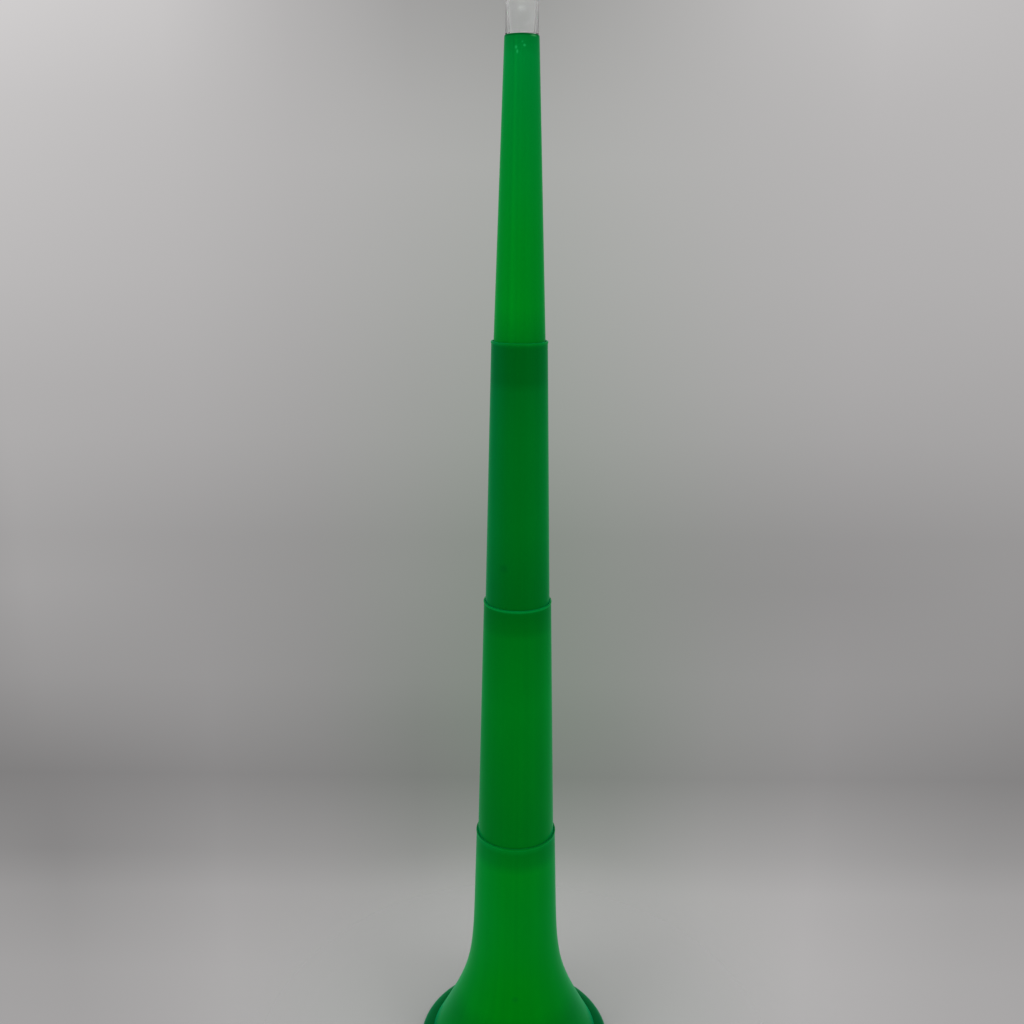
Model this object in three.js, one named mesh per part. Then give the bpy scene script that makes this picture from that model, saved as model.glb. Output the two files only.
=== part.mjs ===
import * as THREE from 'three';

// A collapsible plastic stadium horn: a bell, three conical tubes that slide into one another, and a clear
// mouthpiece that pushes into the narrow end. Millimetres, +Z up. The origin is on the floor, in the middle
// of the bell's mouth. The horn stands on its bell, pulled out to its full length.

// Walls and fits
const sectionWall = 0.7;
const plugGap = 0.3;
const seatGap = 0.3;

// Bell: a straight neck, a flare, and a lip that rolls over to the floor
const bellHeight = 142.4;
const neckRadius = 22.27;
const neckLength = 35;
const neckWidening = 1;
const flareUpperReach = 50.3;
const flareLowerReach = 43;
const flareLowerSpread = 23.5;
const flareFootRadius = 48.5;
const lipRise = 6.5;
const lipRadius = 56;
const lipEdge = 0.9;
const lipFootWidth = 1.4;

// Lower tube: the length that shows, the length tucked in the bell, how much it widens over the length that
// shows, and the gap around it inside the bell's rim
const lowerShown = 137.85;
const lowerTucked = 14;
const lowerWidening = 3.28;
const lowerRimGap = 0.25;

// Middle tube
const middleShown = 137.85;
const middleTucked = 15;
const middleWidening = 2.86;
const middleRimGap = 0.2;

// Upper tube
const upperShown = 141.6;
const upperTucked = 20;
const upperWidening = 4.77;
const upperRimGap = 0.5;

// The rims that a tube comes out of have a fine bead around the outside, and the upper tube's rim is rounded
const beadProud = 0.2;
const beadHeight = 1.2;
const rimRound = 0.6;

// Mouthpiece: a plug inside the upper tube, a stem, and a cup with a rolled rim
const plugLength = 15;
const plugNarrowing = 0.4;
const mouthpieceWall = 1.2;
const stemLength = 20;
const stemSetback = 0.45;
const cupDepth = 20;
const cupRadius = 12.4;
const cupRimRound = 1.5;
const throatRadius = 3.3;
const throatLength = 1.6;

// How finely the round shapes are divided
const turnSteps = 56;
const bellTurnSteps = 64;
const flareSteps = 14;
const lipSteps = 5;
const beadSteps = 5;
const cupSteps = 7;
const roundSteps = 3;

const quarterTurn = Math.PI / 2;

// The bell's rim, and the rims above it, from the floor up
const lowerRimHeight = bellHeight + lowerShown;
const middleRimHeight = lowerRimHeight + middleShown;
const upperRimHeight = middleRimHeight + upperShown;

// A cone's outside radius at a height, given its radius at its rim and its widening over a length
function coneRadius(section, height) {
  return section.rimRadius + (section.rimHeight - height) * section.widening / section.shown;
}

// Each tube fits the bore of the section below it, at that section's rim
function tubeAbove(below, shown, tucked, widening, rimGap) {
  const radiusAtRimBelow = below.rimRadius - sectionWall - rimGap;
  return {
    shown,
    widening,
    rimHeight: below.rimHeight + shown,
    footHeight: below.rimHeight - tucked,
    rimRadius: radiusAtRimBelow - widening,
  };
}

const neck = { shown: neckLength, widening: neckWidening, rimHeight: bellHeight, rimRadius: neckRadius };
const lowerTube = tubeAbove(neck, lowerShown, lowerTucked, lowerWidening, lowerRimGap);
const middleTube = tubeAbove(lowerTube, middleShown, middleTucked, middleWidening, middleRimGap);
const upperTube = tubeAbove(middleTube, upperShown, upperTucked, upperWidening, upperRimGap);

const point = (radius, height) => new THREE.Vector2(radius, height);

// Points on an ellipse's arc, from one angle to another, ends included
function arcPoints(centre, radiusAcross, radiusUp, fromAngle, toAngle, steps) {
  const points = [];
  for (let step = 0; step <= steps; step += 1) {
    const angle = fromAngle + (toAngle - fromAngle) * step / steps;
    points.push(point(centre.x + radiusAcross * Math.cos(angle), centre.y + radiusUp * Math.sin(angle)));
  }
  return points;
}

// A rim with a fine bead around the outside, from the wall below the bead to the bore
function beadedRim(section) {
  const middle = point(section.rimRadius, section.rimHeight - beadHeight / 2);
  const bead = arcPoints(middle, beadProud, beadHeight / 2, -quarterTurn, quarterTurn, beadSteps);
  bead[0].x = coneRadius(section, bead[0].y);
  return [...bead, point(section.rimRadius - sectionWall, section.rimHeight)];
}

// A rim rounded on the outside, from the wall to the bore
function roundedRim(section) {
  const roundCentre = point(section.rimRadius - rimRound, section.rimHeight - rimRound);
  return [
    ...arcPoints(roundCentre, rimRound, rimRound, 0, quarterTurn, roundSteps),
    point(section.rimRadius - sectionWall, section.rimHeight),
  ];
}

// The closed outline of a tube: up the outside, over the rim, down the bore and across the foot
function tubeOutline(tube, rim) {
  const footRadius = coneRadius(tube, tube.footHeight);
  return [
    point(footRadius, tube.footHeight),
    ...rim,
    point(footRadius - sectionWall, tube.footHeight),
    point(footRadius, tube.footHeight),
  ];
}

// The flare follows the neck's line at its top, and meets the lip at its foot
function flareCurve() {
  const flareTop = bellHeight - neckLength;
  const topRadius = coneRadius(neck, flareTop);
  const upperHandleHeight = flareTop - flareUpperReach;
  const upperHandle = point(coneRadius(neck, upperHandleHeight), upperHandleHeight);
  const lowerHandle = point(flareFootRadius - flareLowerSpread, lipRise + flareLowerReach);
  return new THREE.CubicBezierCurve(
    point(topRadius, flareTop), upperHandle, lowerHandle, point(flareFootRadius, lipRise));
}

// The same curve moved inwards by the wall, square to its surface
function innerFlare(curve) {
  const points = [];
  for (let step = 0; step <= flareSteps; step += 1) {
    const share = step / flareSteps;
    const along = curve.getTangent(share);
    const inwards = point(along.y, -along.x).multiplyScalar(sectionWall);
    points.push(curve.getPoint(share).add(inwards));
  }
  return points;
}

// The lip rolls over from the flare's foot to the floor, and thickens into a flat ring that it stands on
function lipOutline(startHeight, radius) {
  const centre = point(flareFootRadius, lipEdge);
  const roll = arcPoints(centre, radius - flareFootRadius, startHeight - lipEdge, quarterTurn, 0, lipSteps);
  return [...roll, point(radius, 0)];
}

// The closed outline of the bell: down the outside, across the foot, and up the inside to the rim
function bellOutline() {
  const curve = flareCurve();
  const rim = beadedRim(neck).reverse();
  const outside = [...curve.getPoints(flareSteps), ...lipOutline(lipRise, lipRadius).slice(1)];
  const inside = [...lipOutline(lipRise - sectionWall, lipRadius - lipFootWidth).reverse(),
    ...innerFlare(curve).reverse()];
  return [...rim, ...outside, ...inside, rim[0].clone()].reverse();
}

// The mouthpiece's outside, from the plug's foot to the top of the cup's rim
function mouthpieceOutside(cupFoot, rimCentre) {
  const plugRadius = upperTube.rimRadius - sectionWall - plugGap;
  const stemRadius = upperTube.rimRadius - stemSetback;
  const stemFoot = upperRimHeight + seatGap;
  const cupHandle = (rimCentre.y - cupFoot) / 2;
  const rimOuterRadius = rimCentre.x + cupRimRound;
  const bowl = new THREE.CubicBezierCurve(
    point(stemRadius, cupFoot),
    point(stemRadius, cupFoot + cupHandle),
    point(rimOuterRadius, rimCentre.y - cupHandle),
    point(rimOuterRadius, rimCentre.y));
  return [
    point(plugRadius - plugNarrowing, upperRimHeight - plugLength),
    point(plugRadius, stemFoot),
    point(stemRadius, stemFoot),
    ...bowl.getPoints(cupSteps),
  ];
}

// The mouthpiece's inside, from the cup's rim down through the throat and the hollow stem to the foot
function mouthpieceInside(cupFoot, rimCentre) {
  const stemBore = upperTube.rimRadius - stemSetback - mouthpieceWall;
  const plugBore = upperTube.rimRadius - sectionWall - plugGap - plugNarrowing - mouthpieceWall;
  const rimInnerRadius = rimCentre.x - cupRimRound;
  const throatTop = cupFoot - throatLength;
  const throatFoot = throatTop - throatLength;
  const bowl = new THREE.CubicBezierCurve(
    point(rimInnerRadius, rimCentre.y),
    point(rimInnerRadius, (rimCentre.y + throatTop) / 2),
    point((stemBore + throatRadius) / 2, cupFoot),
    point(throatRadius, throatTop));
  return [
    ...bowl.getPoints(cupSteps).slice(1),
    point(throatRadius, throatFoot),
    point(stemBore, throatFoot - throatLength),
    point(plugBore, upperRimHeight),
    point(plugBore, upperRimHeight - plugLength),
  ];
}

// The closed outline of the mouthpiece
function mouthpieceOutline() {
  const cupFoot = upperRimHeight + seatGap + stemLength;
  const rimCentre = point(cupRadius, cupFoot + cupDepth - cupRimRound);
  const rimTop = arcPoints(rimCentre, cupRimRound, cupRimRound, 0, Math.PI, beadSteps).slice(1);
  const outside = mouthpieceOutside(cupFoot, rimCentre);
  return [...outside, ...rimTop, ...mouthpieceInside(cupFoot, rimCentre), outside[0].clone()];
}

// An outline turned about the horn's axis
function turned(outline, steps) {
  return new THREE.LatheGeometry(outline, steps).rotateX(quarterTurn);
}

const greenPlastic = (colour) => new THREE.MeshStandardMaterial({ color: colour, roughness: 0.35, metalness: 0 });
const clearPlastic = new THREE.MeshStandardMaterial({
  color: 0xdfe6e6, roughness: 0.15, metalness: 0, transparent: true, opacity: 0.4,
});

const horn = new THREE.Group();

function addPiece(name, outline, steps, material) {
  const piece = new THREE.Mesh(turned(outline, steps), material);
  piece.name = name;
  horn.add(piece);
}

addPiece('bell', bellOutline(), bellTurnSteps, greenPlastic(0x007018));
addPiece('lower_tube', tubeOutline(lowerTube, beadedRim(lowerTube)), turnSteps, greenPlastic(0x006a1a));
addPiece('middle_tube', tubeOutline(middleTube, beadedRim(middleTube)), turnSteps, greenPlastic(0x00601a));
addPiece('upper_tube', tubeOutline(upperTube, roundedRim(upperTube)), turnSteps, greenPlastic(0x007a1e));
addPiece('mouthpiece', mouthpieceOutline(), turnSteps, clearPlastic);

export default horn;
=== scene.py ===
import math

import bmesh
import bpy
from mathutils import Matrix, Vector
from mathutils.geometry import interpolate_bezier


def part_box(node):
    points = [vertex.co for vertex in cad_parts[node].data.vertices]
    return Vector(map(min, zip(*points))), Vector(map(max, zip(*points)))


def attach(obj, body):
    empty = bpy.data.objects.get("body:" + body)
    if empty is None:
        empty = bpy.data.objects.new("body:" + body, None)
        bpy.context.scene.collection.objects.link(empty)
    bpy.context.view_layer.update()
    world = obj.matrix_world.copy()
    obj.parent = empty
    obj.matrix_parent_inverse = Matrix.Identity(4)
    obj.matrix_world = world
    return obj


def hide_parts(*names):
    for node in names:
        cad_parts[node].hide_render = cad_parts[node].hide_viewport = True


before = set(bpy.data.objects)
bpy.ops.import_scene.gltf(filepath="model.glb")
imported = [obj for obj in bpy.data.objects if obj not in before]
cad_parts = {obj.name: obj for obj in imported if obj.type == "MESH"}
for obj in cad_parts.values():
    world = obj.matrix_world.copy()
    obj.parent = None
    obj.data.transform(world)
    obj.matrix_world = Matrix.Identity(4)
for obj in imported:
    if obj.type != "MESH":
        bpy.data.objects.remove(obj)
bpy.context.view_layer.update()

MM = 0.001
QUARTER = math.pi / 2
WHITE = (1, 1, 1, 1)

# The camera stands at the photographer's height and distance, tipped down, and a touch off level
CAMERA_DISTANCE = 537.8 * MM
CAMERA_HEIGHT = 476 * MM
CAMERA_PITCH = math.radians(15.29)
CAMERA_YAW = math.radians(0.347)
CAMERA_ROLL = math.radians(0.356)
CAMERA_NEAREST = 10 * MM
SENSOR_WIDTH = 36.0
FOCAL_LENGTH = 37.4


def make_camera():
    data = bpy.data.cameras.new("camera")
    data.sensor_width = SENSOR_WIDTH
    data.lens = FOCAL_LENGTH
    data.clip_start = CAMERA_NEAREST
    camera = bpy.data.objects.new("camera", data)
    bpy.context.scene.collection.objects.link(camera)
    turn = Matrix.Rotation(CAMERA_YAW, 4, "Z") @ Matrix.Rotation(QUARTER - CAMERA_PITCH, 4, "X")
    place = Matrix.Translation((0, -CAMERA_DISTANCE, CAMERA_HEIGHT))
    camera.matrix_world = place @ turn @ Matrix.Rotation(CAMERA_ROLL, 4, "Z")
    bpy.context.scene.camera = camera


class Graph:
    """The nodes of a material or of the world. Its methods add nodes and give back their results."""

    def __init__(self, tree):
        self.nodes, self.links = tree.nodes, tree.links

    def feed(self, socket, value):
        """Gives a socket the result of a node, or a plain value."""
        if isinstance(value, bpy.types.NodeSocket):
            self.links.new(value, socket)
        else:
            socket.default_value = value

    def add(self, kind, values=None, **settings):
        """A new node, with its settings first and then what goes into its sockets."""
        node = self.nodes.new("ShaderNode" + kind)
        for name, setting in settings.items():
            setattr(node, name, setting)
        for socket, value in (values or {}).items():
            self.feed(node.inputs[socket], value)
        return node

    def place(self, kind):
        return self.add("TexCoord").outputs[kind]

    def axes(self, vector):
        return self.add("SeparateXYZ", {"Vector": vector}).outputs

    def parts(self, colour):
        return self.add("SeparateColor", {"Color": colour}).outputs

    def maths(self, operation, *values):
        return self.add("Math", dict(enumerate(values)), operation=operation).outputs[0]

    def vector_maths(self, operation, *values):
        return self.add("VectorMath", dict(enumerate(values)), operation=operation).outputs[0]

    def length(self, vector):
        return self.add("VectorMath", {0: vector}, operation="LENGTH").outputs["Value"]

    def smooth_step(self, value, start, end, before, after):
        """Goes smoothly from one level to another while a value goes from its start to its end."""
        spans = {"Value": value, "From Min": start, "From Max": end, "To Min": before, "To Max": after}
        return self.add("MapRange", spans, interpolation_type="SMOOTHSTEP").outputs["Result"]

    def ramp(self, value, stops):
        """Colours in a row over a value, with their stops given on the value's own scale."""
        low, high = stops[0][0], stops[-1][0]
        share_of_way = self.add("MapRange", {"Value": value, "From Min": low, "From Max": high})
        colours = self.add("ValToRGB", {"Fac": share_of_way.outputs["Result"]})
        elements = colours.color_ramp.elements
        elements.remove(elements[1])
        for index, (place, colour) in enumerate(stops):
            share = (place - low) / (high - low)
            stop = elements.new(share) if index else elements[0]
            stop.position = share
            stop.color = (*colour, 1)
        return colours.outputs["Color"]

    def noise(self, place):
        return self.add("TexNoise", {"Vector": place, "Scale": 1, "Detail": NOISE_DETAIL}).outputs["Fac"]

    def varied(self, colour, texture, share):
        """A colour made darker and lighter by a share, as a texture goes from 0 to 1."""
        level = self.add("MapRange", {"Value": texture, "To Min": 1 - share, "To Max": 1 + share})
        scaled = {0: colour, "Scale": level.outputs["Result"]}
        return self.add("VectorMath", scaled, operation="SCALE").outputs["Vector"]

    def mixed(self, share, first, second):
        """A colour between two others."""
        return self.add("Mix", {"Factor": share, "A": first, "B": second}, data_type="RGBA").outputs["Result"]

    def mixed_shaders(self, share, first, second):
        return self.add("MixShader", {0: share, 1: first, 2: second}).outputs[0]

    def seen_rays(self):
        """1 for what the camera sees, straight or by a reflection or through clear plastic."""
        path = self.add("LightPath").outputs
        straight_or_glossy = self.maths("MAXIMUM", path["Is Camera Ray"], path["Is Glossy Ray"])
        return self.maths("MAXIMUM", straight_or_glossy, path["Is Transmission Ray"])


# The room as the camera sees it. The values in its three tables were first fitted to the photograph's background
# by another program, and then rounded and thinned out by hand. The grey goes with the slope up or down, and is
# darkest where the wall meets the floor. Each slope is kept level across a wall that is this share as far off
# to its sides.
ROOM_GREYS = tuple((slope, (grey, grey, grey)) for slope, grey in (
    (-1.2, 0.42), (-0.8, 0.39), (-0.7, 0.36), (-0.65, 0.3), (-0.56, 0.23), (-0.45, 0.28), (-0.3, 0.3),
    (-0.2, 0.36), (-0.05, 0.42), (0.05, 0.45), (0.2, 0.46)))
WALL_SHARE = 0.87
# Three things change to the sides, all of them painted light and shade in the room's colour: the middle is
# darker with painted shade, one side is lighter with painted light, and the horn casts painted green light round
# it. The dark band in the greys above, where the wall meets the floor, is painted shade as well. First come all
# three from side to side, then how much of each there is by slope up or down. The first two make no difference
# at the even level.
ROOM_EVEN = 0.5
ROOM_SIDES = (
    (-0.8, (0, 0.5, 0)), (-0.5, (0.5, 0.25, 0)), (-0.44, (1, 0, 0)), (-0.3, (0.9, 0.4, 0)),
    (-0.2, (0.45, 0.5, 0.1)), (-0.1, (0.1, 0.5, 0.5)), (0, (0.05, 0.65, 1)), (0.1, (0.3, 0.6, 0.6)),
    (0.2, (0.65, 0.7, 0.2)), (0.3, (0.85, 0.7, 0)), (0.44, (0.6, 0.45, 0)), (0.5, (0.3, 0.5, 0)),
    (0.8, (0, 0.5, 0)))
ROOM_AMOUNTS = (
    (-1.5, (0, 0.5, 0)), (-0.8, (0.15, 0.85, 0.45)), (-0.65, (0.15, 1.05, 0.5)), (-0.5, (0.25, 0.7, 1)),
    (-0.35, (0.1, 0.15, 0.85)), (-0.15, (0.15, 0.4, 0.5)), (0.05, (0.15, 0.3, 0.25)), (0.1, (0.25, 0.3, 0.2)),
    (0.2, (0.6, 0.3, 0.15)), (0.7, (0.1, 0.5, 0)))
ROOM_TINT = (1.025, 1, 1, 1)
ROOM_GREEN_TINT = (0.855, 1, 0.85, 1)
# The room's light on the horn is white and even
ROOM_LIGHT_LEVEL = 0.8


def room_directions(graph):
    """The slope up or down of a direction, and how far it points to the side, from -1 to 1."""
    x, y, z = graph.axes(graph.place("Generated"))
    along = graph.maths("SQRT", graph.maths("SUBTRACT", 1, graph.maths("MULTIPLY", z, z)))
    wall = graph.maths("MAXIMUM", graph.maths("ABSOLUTE", y), graph.maths("MULTIPLY", along, WALL_SHARE))
    return graph.maths("DIVIDE", z, wall), graph.maths("DIVIDE", x, along)


def make_world():
    world = bpy.data.worlds.new("room")
    bpy.context.scene.world = world
    world.use_nodes = True
    graph = Graph(world.node_tree)
    graph.nodes.clear()
    slope, sideways = room_directions(graph)
    grey = graph.parts(graph.ramp(slope, ROOM_GREYS))[0]
    middle, lean, green = graph.parts(graph.ramp(sideways, ROOM_SIDES))
    middle_amount, lean_amount, green_amount = graph.parts(graph.ramp(slope, ROOM_AMOUNTS))
    darkened = graph.maths("MULTIPLY", middle_amount, graph.maths("SUBTRACT", middle, ROOM_EVEN))
    leant = graph.maths("MULTIPLY", graph.maths("SUBTRACT", lean_amount, ROOM_EVEN),
                        graph.maths("SUBTRACT", lean, ROOM_EVEN))
    level = graph.maths("MULTIPLY", grey, graph.maths("ADD", 1, graph.maths("ADD", darkened, leant)))
    tint = graph.mixed(graph.maths("MULTIPLY", green, green_amount), ROOM_TINT, ROOM_GREEN_TINT)
    seen = graph.add("Background", {"Color": tint, "Strength": level}).outputs[0]
    light = graph.add("Background", {"Color": WHITE, "Strength": ROOM_LIGHT_LEVEL}).outputs[0]
    graph.add("OutputWorld", {"Surface": graph.mixed_shaders(graph.seen_rays(), light, seen)})


# Soft lamps low around the horn: their distance, height, size and power, and their turns from the front
LAMP_DISTANCE = 1.5
LAMP_HEIGHT = 0.55
LAMP_SIZE = 1.0
LAMP_POWER = 8
LAMP_TURNS = (math.radians(-50), math.radians(50), math.radians(180))
LAMP_AIM = Vector((0, 0, 0.28))
# One more, long and level, is only for the highlight on the clear mouthpiece
HIGHLIGHT_PLACE = (0.04, -1.2, 1.24)
HIGHLIGHT_SIZE = (1.8, 0.5)
HIGHLIGHT_POWER = 40


def add_lamp(name, place, size, power):
    data = bpy.data.lights.new(name, "AREA")
    data.shape = "ELLIPSE"
    data.size, data.size_y = size
    data.energy = power
    lamp = bpy.data.objects.new(name, data)
    bpy.context.scene.collection.objects.link(lamp)
    lamp.location = place
    return lamp


def make_lamps():
    for index, turn in enumerate(LAMP_TURNS):
        place = Vector((LAMP_DISTANCE * math.sin(turn), -LAMP_DISTANCE * math.cos(turn), LAMP_HEIGHT))
        lamp = add_lamp("lamp_%d" % (index + 1), place, (LAMP_SIZE, LAMP_SIZE), LAMP_POWER)
        lamp.rotation_euler = (LAMP_AIM - place).to_track_quat("-Z", "Y").to_euler()
        lamp.visible_glossy = False
        lamp.visible_transmission = False
    highlight = add_lamp("highlight", HIGHLIGHT_PLACE, HIGHLIGHT_SIZE, HIGHLIGHT_POWER)
    highlight.rotation_euler = (QUARTER, 0, 0)
    highlight.visible_diffuse = False


def plain_material(name, colour, roughness):
    material = bpy.data.materials.new(name)
    material.use_nodes = True
    surface = material.node_tree.nodes["Principled BSDF"]
    surface.inputs["Base Color"].default_value = colour
    surface.inputs["Roughness"].default_value = roughness
    return material, surface


def object_from(shape, name):
    mesh = bpy.data.meshes.new(name)
    shape.to_mesh(mesh)
    shape.free()
    made = bpy.data.objects.new(name, mesh)
    bpy.context.scene.collection.objects.link(made)
    return made


FLOOR_SIZE = 12
FLOOR_GREY = (0.38, 0.38, 0.375, 1)
FLOOR_ROUGHNESS = 0.9
FLOOR_SPECULAR = 0.1
# The camera sees the floor near the horn, and it fades into the room's grey further out
FLOOR_SEEN = 0.08
FLOOR_FADED = 0.22


def make_floor():
    shape = bmesh.new()
    bmesh.ops.create_grid(shape, x_segments=1, y_segments=1, size=FLOOR_SIZE / 2)
    floor = object_from(shape, "floor")
    material, surface = plain_material("pale_floor", FLOOR_GREY, FLOOR_ROUGHNESS)
    surface.inputs["Specular IOR Level"].default_value = FLOOR_SPECULAR
    graph = Graph(material.node_tree)
    faded = graph.smooth_step(graph.length(graph.place("Object")), FLOOR_SEEN, FLOOR_FADED, 0, 1)
    unseen = graph.maths("MULTIPLY", faded, graph.seen_rays())
    clear = graph.add("BsdfTransparent").outputs["BSDF"]
    output = graph.nodes["Material Output"].inputs["Surface"]
    graph.feed(output, graph.mixed_shaders(unseen, surface.outputs["BSDF"], clear))
    floor.data.materials.append(material)


# Green polypropylene: its colour by height and across, with painted shade and painted light in it, faint
# blotches, drag lines along the piece, and marks
NOISE_DETAIL = 2
MOTTLE = (60, 60, 25)
MOTTLE_SHARE = 0.06
DRAG_LINES = 7
DRAG_LINES_UP = 3
DRAG_SHARE = 0.08
GREEN_ROUGHNESS = 0.3
GREEN_SPECULAR = 0.012
GREEN_SPECULAR_TINT = (0.0, 0.9, 0.4, 1)
EDGE_SHEEN = 0.27
EDGE_SHEEN_TINT = (0.0, 1.0, 0.44, 1)
EDGE_SHEEN_ROUGHNESS = 0.5


def marked(graph, colour, place, centre, half_width, half_height, mark_colour):
    """A colour with a soft mark of another colour on it, whose measures are in millimetres."""
    scale = Vector((1 / half_width, 1 / half_width, 1 / half_height)) / MM
    from_centre = graph.vector_maths("MULTIPLY_ADD", place, scale, -(Vector(centre) * MM * scale))
    strength = graph.smooth_step(graph.length(from_centre), 0, 1, 1, 0)
    return graph.mixed(strength, colour, (*mark_colour, 1))


def green_plastic(name, shades, across, marks):
    """The shades are heights in millimetres, each with its green and blue. Across goes from -1 to 1 sideways,
    each with a share of that green and of that blue. The marks are their centres, half widths, half heights
    and colours."""
    material, surface = plain_material(name, (0, *shades[0][1:], 1), GREEN_ROUGHNESS)
    surface.inputs["Specular IOR Level"].default_value = GREEN_SPECULAR
    surface.inputs["Specular Tint"].default_value = GREEN_SPECULAR_TINT
    surface.inputs["Sheen Weight"].default_value = EDGE_SHEEN
    surface.inputs["Sheen Tint"].default_value = EDGE_SHEEN_TINT
    surface.inputs["Sheen Roughness"].default_value = EDGE_SHEEN_ROUGHNESS
    graph = Graph(material.node_tree)
    place = graph.place("Object")
    outwards = graph.vector_maths("NORMALIZE", graph.vector_maths("MULTIPLY", place, (1, 1, 0)))
    by_height = [(height * MM, (0, green, blue)) for height, green, blue in shades]
    colour = graph.ramp(graph.axes(place)[2], by_height)
    blotches = graph.noise(graph.vector_maths("MULTIPLY", place, MOTTLE))
    colour = graph.varied(colour, blotches, MOTTLE_SHARE)
    upwards = graph.vector_maths("MULTIPLY", place, (0, 0, DRAG_LINES_UP))
    lines = graph.noise(graph.vector_maths("MULTIPLY_ADD", outwards, (DRAG_LINES,) * 3, upwards))
    colour = graph.varied(colour, lines, DRAG_SHARE)
    shares = graph.ramp(graph.axes(outwards)[0], [(side, (0, green, blue)) for side, green, blue in across])
    colour = graph.vector_maths("MULTIPLY", colour, shares)
    for mark in marks:
        colour = marked(graph, colour, place, *mark)
    graph.feed(surface.inputs["Base Color"], colour)
    return material


CLEAR_COLOUR = (0.98, 0.99, 0.985, 1)
CLEAR_ROUGHNESS = 0.1
CLEAR_IOR = 1.2
CLEAR_SHARE = 0.95
# Clear plastic takes a little of the light on its way through the wall, so the edges stay dim
CLEAR_DEPTH_COLOUR = (0.5, 0.51, 0.5, 1)
CLEAR_DEPTH_DENSITY = 100


def clear_plastic(name):
    material, surface = plain_material(name, CLEAR_COLOUR, CLEAR_ROUGHNESS)
    surface.inputs["Transmission Weight"].default_value = CLEAR_SHARE
    surface.inputs["IOR"].default_value = CLEAR_IOR
    graph = Graph(material.node_tree)
    depth = graph.add("VolumeAbsorption", {"Color": CLEAR_DEPTH_COLOUR, "Density": CLEAR_DEPTH_DENSITY})
    graph.feed(graph.nodes["Material Output"].inputs["Volume"], depth.outputs["Volume"])
    return material


# How finely the round pieces are spun
SPIN_STEPS = 192
FLARE_STEPS = 48
ROUND_STEPS = 6
SHARP_EDGE = math.radians(40)

# Walls and rims, as moulded
WALL = 0.7 * MM
BEAD_PROUD = 0.2 * MM
BEAD_HEIGHT = 1.2 * MM
RIM_ROUND = 0.6 * MM
BORE_ROUND = 0.1 * MM
FOOT_ROUND = 0.2 * MM

# How far below its top a solid's rim is looked at: past its rounding, or at the top of its bead
ROUNDED_RIM_DEPTH = 1.1 * RIM_ROUND
BEADED_RIM_DEPTH = 0.05 * BEAD_HEIGHT


def at(radius, height):
    """A point of an outline, which stands in the XZ plane."""
    return Vector((radius, 0, height))


def arc(radius, height, across, up, start, end, steps=ROUND_STEPS):
    """Points on an ellipse's arc round a centre, ends included."""
    angles = [start + (end - start) * step / steps for step in range(steps + 1)]
    return [at(radius + across * math.cos(angle), height + up * math.sin(angle)) for angle in angles]


def spin_piece(outline, name, node, material):
    """A closed outline spun about the horn's axis, smooth but for its sharp edges."""
    shape = bmesh.new()
    corners = [shape.verts.new(place) for place in outline]
    for first, second in zip(corners, corners[1:] + corners[:1]):
        shape.edges.new((first, second))
    bmesh.ops.spin(shape, geom=shape.verts[:] + shape.edges[:], cent=(0, 0, 0), axis=(0, 0, 1),
                   angle=2 * math.pi, steps=SPIN_STEPS, use_merge=True)
    bmesh.ops.recalc_face_normals(shape, faces=shape.faces)
    for face in shape.faces:
        face.smooth = True
    for edge in shape.edges:
        edge.smooth = edge.calc_face_angle() < SHARP_EDGE
    piece = object_from(shape, name)
    piece.data.materials.append(material)
    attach(piece, node)
    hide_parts(node)


def rim_radius(node, depth):
    """A solid's greatest outside radius down to a small depth below its top."""
    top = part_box(node)[1].z
    return max(math.hypot(v.co.x, v.co.y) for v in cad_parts[node].data.vertices if top - v.co.z < depth)


def bore_edge(bore, top):
    """The rounded edge where a rim turns down into the bore."""
    return arc(bore + BORE_ROUND, top - BORE_ROUND, BORE_ROUND, BORE_ROUND, QUARTER, math.pi)


def rounded_rim(node):
    """A rim rounded on the outside, from the wall to the bore."""
    radius, top = rim_radius(node, ROUNDED_RIM_DEPTH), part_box(node)[1].z
    rounding = arc(radius - RIM_ROUND, top - RIM_ROUND, RIM_ROUND, RIM_ROUND, 0, QUARTER)
    return rounding + bore_edge(radius - WALL, top)


def beaded_rim(node):
    """A rim with a fine bead around the outside, from the wall below it to the bore."""
    radius, top = rim_radius(node, BEADED_RIM_DEPTH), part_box(node)[1].z
    bead = arc(radius, top - BEAD_HEIGHT / 2, BEAD_PROUD, BEAD_HEIGHT / 2, -QUARTER, QUARTER, 2 * ROUND_STEPS)
    return bead + bore_edge(radius - WALL, top)


def tube_outline(node, rim):
    """Up a tube's outside, over its rim, down the bore and round the foot."""
    low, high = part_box(node)
    foot_middle, bore = low.z + FOOT_ROUND, high.x - WALL
    outside = arc(high.x - FOOT_ROUND, foot_middle, FOOT_ROUND, FOOT_ROUND, -QUARTER, 0)
    inside = arc(bore + FOOT_ROUND, foot_middle, FOOT_ROUND, FOOT_ROUND, math.pi, math.pi + QUARTER)
    return outside + rim + inside
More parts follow.
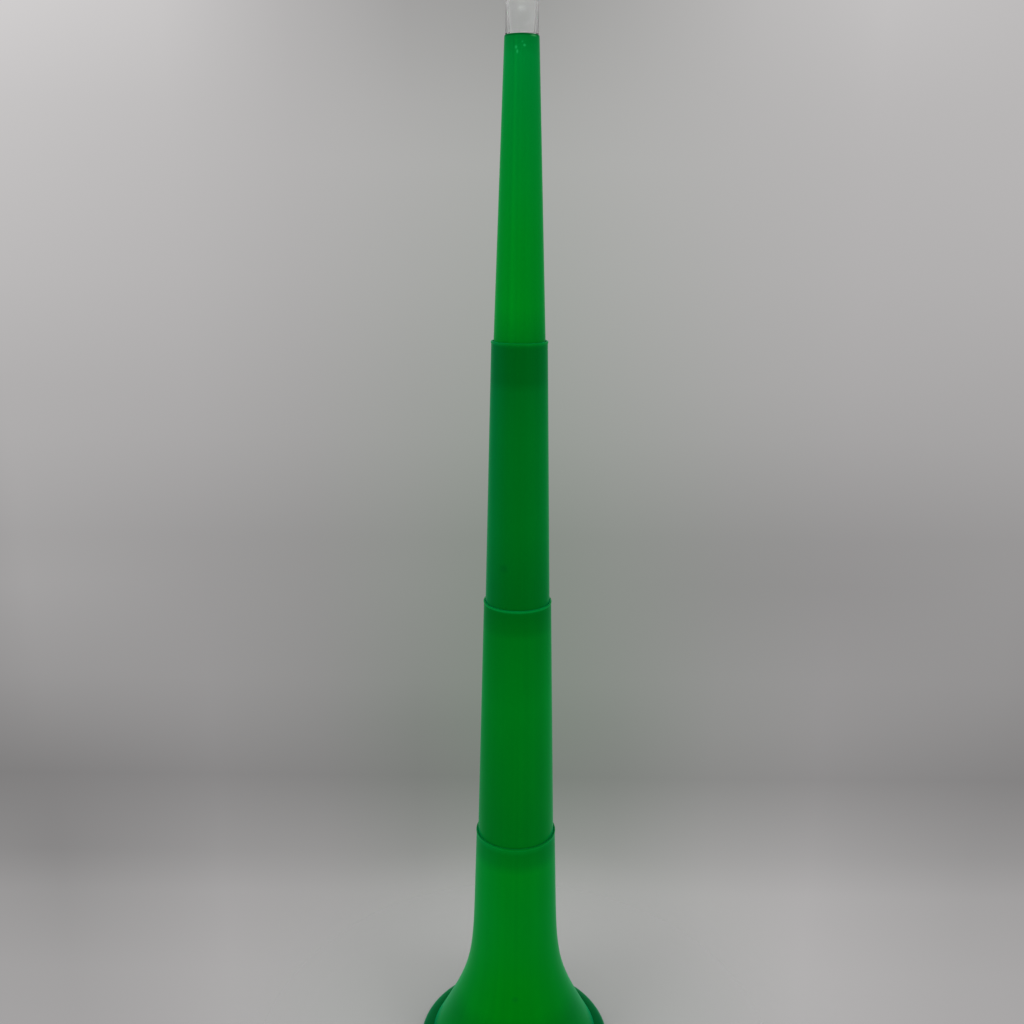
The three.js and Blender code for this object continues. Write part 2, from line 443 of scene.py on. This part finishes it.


# Green and blue of each section by height in millimetres. Another program, which compared a render with the
# photograph, corrected many of them, and they were then rounded by hand. A section is darker over the length
# where the one above it is tucked inside, because less light comes through two walls. Its cut edge is bright.
# Painted shade and light in these: the darker lengths where the section above is tucked inside, the darker
# places just above each rim, the dark rounded top of the upper tube, and the dark lip and lower flare of the
# bell are painted shade; the bright cut edges are a painted glow of light coming out through the edge.
UPPER_SHADES = ((398, 0.14, 0.005), (420, 0.16, 0.006), (436, 0.2, 0.007), (470, 0.2, 0.009),
                (515, 0.2, 0.017), (550, 0.2, 0.025), (558.6, 0.16, 0.02), (559.1, 0.08, 0.01))
MIDDLE_SHADES = ((265, 0.1, 0.003), (290, 0.1, 0.004), (325, 0.12, 0.006), (370, 0.12, 0.007),
                 (394, 0.11, 0.007), (399, 0.09, 0.005), (416, 0.09, 0.005), (417.2, 0.13, 0.007),
                 (417.7, 0.18, 0.012), (418, 0.15, 0.01))
LOWER_SHADES = ((128, 0.12, 0.002), (150, 0.12, 0.002), (225, 0.145, 0.004), (264, 0.13, 0.004),
                (268, 0.11, 0.003), (277, 0.095, 0.003), (278.4, 0.1, 0.004), (279.3, 0.14, 0.01),
                (279.8, 0.24, 0.035), (280.2, 0.14, 0.015))
BELL_SHADES = ((0, 0.04, 0.002), (5, 0.05, 0.002), (14, 0.12, 0.001), (30, 0.12, 0.001), (40, 0.15, 0.001),
               (60, 0.16, 0.001), (95, 0.165, 0.003), (126, 0.165, 0.003), (132, 0.13, 0.003),
               (138.6, 0.12, 0.003), (140.4, 0.14, 0.007), (141.8, 0.16, 0.007), (142.3, 0.12, 0.005))
# Shares of them from side to side: a moulded wall is a little thicker on one side, and the light coming through
# it is painted on, lighter on one side than the other; its edges are painted bluer, a painted reflection of the
# room; and a drag line runs up the upper tube
UPPER_ACROSS = ((-1, 1.05, 1.2), (-0.7, 1.02, 1), (-0.45, 0.98, 1), (-0.33, 1.05, 1), (-0.2, 0.97, 1),
                (0, 0.95, 0.9), (0.6, 0.95, 1), (1, 0.88, 0.9))
MIDDLE_ACROSS = ((-1, 1.05, 3.2), (-0.7, 1.04, 2), (-0.4, 0.99, 1.1), (0, 0.97, 0.9), (0.5, 1.05, 1.1),
                 (1, 1.13, 1.6))
LOWER_ACROSS = ((-1, 1, 1), (-0.3, 0.98, 1), (0, 0.98, 1), (0.35, 1.01, 1), (1, 1.05, 1))
BELL_ACROSS = ((-1, 1.05, 3.5), (-0.7, 1.08, 2.2), (-0.3, 1.02, 1), (0, 0.98, 1), (0.4, 1, 1), (0.7, 1, 1.4),
               (1, 0.98, 3))
# Small marks: pale scuffs near the top, painted with the glint of light they catch, a painted highlight on the
# rim above them, a darker place low on the middle tube, and two spots on the bell
GLINTING_SCUFF = (0.008, 0.31, 0.07)
FAINT_GLINTING_SCUFF = (0.004, 0.25, 0.05)
# The pale place on the rim is a painted highlight
RIM_GLINT = (0.045, 0.28, 0.085)
DARKER_PLACE = (0, 0.088, 0.006)
UPPER_SPOT = (0, 0.15, 0.002)
LOWER_SPOT = (0, 0.13, 0.003)
UPPER_MARKS = (((-2.7, -8.1, 553.5), 1, 1.2, GLINTING_SCUFF), ((-2.1, -8.3, 551.6), 0.8, 1.4, GLINTING_SCUFF),
               ((1.2, -8.4, 554.3), 1, 0.9, GLINTING_SCUFF), ((0.3, -8.6, 555.9), 0.7, 0.8, FAINT_GLINTING_SCUFF),
               ((5.5, -6.1, 558.8), 2.6, 0.65, RIM_GLINT))
MIDDLE_MARKS = (((-7.2, -15, 302.5), 3.6, 3.4, DARKER_PLACE),)
BELL_MARKS = (((0.5, -28.5, 50), 2.8, 2.4, LOWER_SPOT), ((2.5, -27.3, 56.5), 2, 1.2, UPPER_SPOT))


def make_tubes():
    for node, rim, shades, across, marks in (
            ("upper_tube", rounded_rim, UPPER_SHADES, UPPER_ACROSS, UPPER_MARKS),
            ("middle_tube", beaded_rim, MIDDLE_SHADES, MIDDLE_ACROSS, MIDDLE_MARKS),
            ("lower_tube", beaded_rim, LOWER_SHADES, LOWER_ACROSS, ())):
        spin_piece(tube_outline(node, rim(node)), node + "_shell", node,
                   green_plastic(node, shades, across, marks))


# The bell's neck, flare and rolled lip
NECK_LENGTH = 35 * MM
NECK_WIDENING = 1 * MM
FLARE_UPPER_REACH = 50.3 * MM
FLARE_LOWER_REACH = 43 * MM
FLARE_LOWER_SPREAD = 23.5 * MM
FLARE_FOOT_RADIUS = 48.5 * MM
LIP_RISE = 6.5 * MM
LIP_EDGE = 0.9 * MM
LIP_FOOT_WIDTH = 1.4 * MM
LIP_ROUND = 0.3 * MM
LIP_STEPS = 16


def flare_points(neck_radius, top):
    """The flare's outside, from the neck down to the lip."""
    neck_slope = NECK_WIDENING / NECK_LENGTH
    start = at(neck_radius + NECK_WIDENING, top - NECK_LENGTH)
    upper_handle = start + Vector((neck_slope, 0, -1)) * FLARE_UPPER_REACH
    end = at(FLARE_FOOT_RADIUS, LIP_RISE)
    lower_handle = end + Vector((-FLARE_LOWER_SPREAD, 0, FLARE_LOWER_REACH))
    return interpolate_bezier(start, upper_handle, lower_handle, end, FLARE_STEPS)


def moved_in(points):
    """The same curve moved inwards by the wall, square to itself."""
    moved = []
    for index, here in enumerate(points):
        along = points[min(index + 1, len(points) - 1)] - points[max(index - 1, 0)]
        moved.append(here + Vector((along.z, 0, -along.x)).normalized() * WALL)
    return moved


def lip_points(rise, radius):
    """The lip's roll from the flare's foot to just above the floor."""
    across, up = radius - FLARE_FOOT_RADIUS, rise - LIP_EDGE
    return arc(FLARE_FOOT_RADIUS, LIP_EDGE, across, up, QUARTER, 0, LIP_STEPS)


def make_bell():
    node = "bell"
    top, lip_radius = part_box(node)[1].z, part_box(node)[1].x
    flare = flare_points(rim_radius(node, BEADED_RIM_DEPTH), top)
    foot_inside = lip_radius - LIP_FOOT_WIDTH
    outside = flare + lip_points(LIP_RISE, lip_radius)[1:]
    foot = (arc(lip_radius - LIP_ROUND, LIP_ROUND, LIP_ROUND, LIP_ROUND, 0, -QUARTER)
            + arc(foot_inside + LIP_ROUND, LIP_ROUND, LIP_ROUND, LIP_ROUND, -QUARTER, -math.pi))
    inside = lip_points(LIP_RISE - WALL, foot_inside)[::-1] + moved_in(flare)[::-1]
    spin_piece(outside + foot + inside + beaded_rim(node)[::-1], "bell_shell", node,
               green_plastic(node, BELL_SHADES, BELL_ACROSS, BELL_MARKS))


# The mouthpiece: a plug in the upper tube, a hollow stem, a throat, and a cup with a rolled rim
PLUG_LENGTH = 15 * MM
PLUG_GAP = 0.3 * MM
PLUG_NARROWING = 0.4 * MM
SEAT_GAP = 0.3 * MM
MOUTHPIECE_WALL = 1.2 * MM
STEM_LENGTH = 20 * MM
STEM_SETBACK = 0.45 * MM
STEM_ROUND = 0.3 * MM
CUP_RADIUS = 12.4 * MM
CUP_RIM_ROUND = 1.5 * MM
CUP_STEPS = 32
THROAT_RADIUS = 3.3 * MM
THROAT_LENGTH = 1.6 * MM


def make_mouthpiece():
    node = "mouthpiece"
    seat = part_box("upper_tube")[1].z
    stem_foot, cup_foot = seat + SEAT_GAP, seat + SEAT_GAP + STEM_LENGTH
    tube_radius = rim_radius("upper_tube", ROUNDED_RIM_DEPTH)
    stem, plug = tube_radius - STEM_SETBACK, tube_radius - WALL - PLUG_GAP
    stem_bore, plug_bore = stem - MOUTHPIECE_WALL, plug - PLUG_NARROWING - MOUTHPIECE_WALL
    rim_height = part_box(node)[1].z - CUP_RIM_ROUND
    rim_outside, rim_inside = CUP_RADIUS + CUP_RIM_ROUND, CUP_RADIUS - CUP_RIM_ROUND
    throat_top, throat_foot = cup_foot - THROAT_LENGTH, cup_foot - 2 * THROAT_LENGTH
    half_cup = (rim_height - cup_foot) / 2
    cup_outside = interpolate_bezier(at(stem, cup_foot), at(stem, cup_foot + half_cup),
                                     at(rim_outside, rim_height - half_cup),
                                     at(rim_outside, rim_height), CUP_STEPS)
    cup_inside = interpolate_bezier(at(rim_inside, rim_height), at(rim_inside, (rim_height + throat_top) / 2),
                                    at((stem_bore + THROAT_RADIUS) / 2, cup_foot),
                                    at(THROAT_RADIUS, throat_top), CUP_STEPS)
    outline = [
        at(plug - PLUG_NARROWING, seat - PLUG_LENGTH),
        at(plug, stem_foot),
        *arc(stem - STEM_ROUND, stem_foot + STEM_ROUND, STEM_ROUND, STEM_ROUND, -QUARTER, 0),
        *cup_outside,
        *arc(CUP_RADIUS, rim_height, CUP_RIM_ROUND, CUP_RIM_ROUND, 0, math.pi, 2 * ROUND_STEPS)[1:-1],
        *cup_inside,
        at(THROAT_RADIUS, throat_foot),
        at(stem_bore, throat_foot - THROAT_LENGTH),
        at(plug_bore, seat),
        at(plug_bore, seat - PLUG_LENGTH),
    ]
    spin_piece(outline, "mouthpiece_shell", node, clear_plastic(node))


make_camera()
make_world()
make_lamps()
make_floor()
make_tubes()
make_bell()
make_mouthpiece()

bpy.context.scene.view_settings.view_transform = "Standard"
